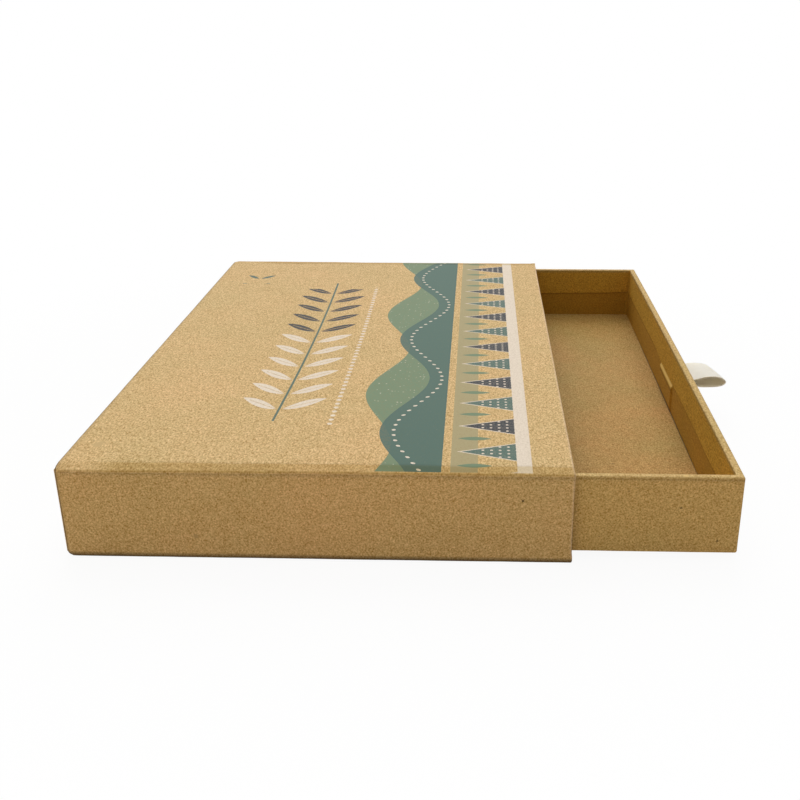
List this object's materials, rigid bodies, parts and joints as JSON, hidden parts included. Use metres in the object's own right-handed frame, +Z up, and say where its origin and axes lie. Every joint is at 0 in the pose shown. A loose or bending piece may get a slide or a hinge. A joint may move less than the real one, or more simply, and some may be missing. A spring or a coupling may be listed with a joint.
{
  "type": "sliding drawer gift box",
  "caption": "Flat rigid gift box: an open tray with a ribbon pull slides out of a kraft-covered sleeve closed at one end.",
  "frame": {"origin": "centre of the sleeve's underside, on the surface that the box stands on", "axes": "+Z up, +X the way the drawer pulls out, +Y across the box to its rear side"},
  "size_m": [0.2733, 0.3, 0.0365],
  "materials": {
    "kraft_paper": "uncoated brown kraft with short fibres",
    "kraft_lining": "uncoated brown kraft",
    "greyboard": "raw grey chipboard",
    "stay_tape": "gummed kraft tape",
    "woven_ribbon": "fine ribbed ivory weave",
    "print_green": "matt printing ink on kraft",
    "print_stone": "matt printing ink on kraft",
    "print_white": "matt printing ink on kraft",
    "print_charcoal": "matt printing ink on kraft"
  },
  "bodies": {
    "sleeve": {"sleeve_top_board": "greyboard", "sleeve_bottom_board": "greyboard", "sleeve_front_board": "greyboard", "sleeve_rear_board": "greyboard", "sleeve_end_board": "greyboard", "sleeve_wrap": "kraft_paper", "sleeve_end_paper": "kraft_paper", "sleeve_liner": "kraft_lining", "sleeve_end_liner": "kraft_lining"},
    "drawer": {"drawer_base_board": "greyboard", "drawer_pull_board": "greyboard", "drawer_tail_board": "greyboard", "drawer_front_board": "greyboard", "drawer_rear_board": "greyboard", "drawer_corner_stays": "stay_tape", "drawer_wrap": "kraft_paper", "drawer_wall_liner": "kraft_lining", "drawer_base_liner": "kraft_lining", "ribbon_tails": "woven_ribbon"},
    "ribbon": {"ribbon_loop": "woven_ribbon"}
  },
  "joints": [
    {"name": "drawer_slide", "type": "slide", "parent": "sleeve", "child": "drawer", "axis": [1, 0, 0], "range_m": [-0.0615, 0.122]},
    {"name": "ribbon_bend", "type": "hinge", "parent": "drawer", "child": "ribbon", "pos_m": [0.1567, 0, 0.01865], "axis": [0, 1, 0], "range_deg": [-60, 60], "stiffness_Nm_per_rad": 0.001}
  ]
}
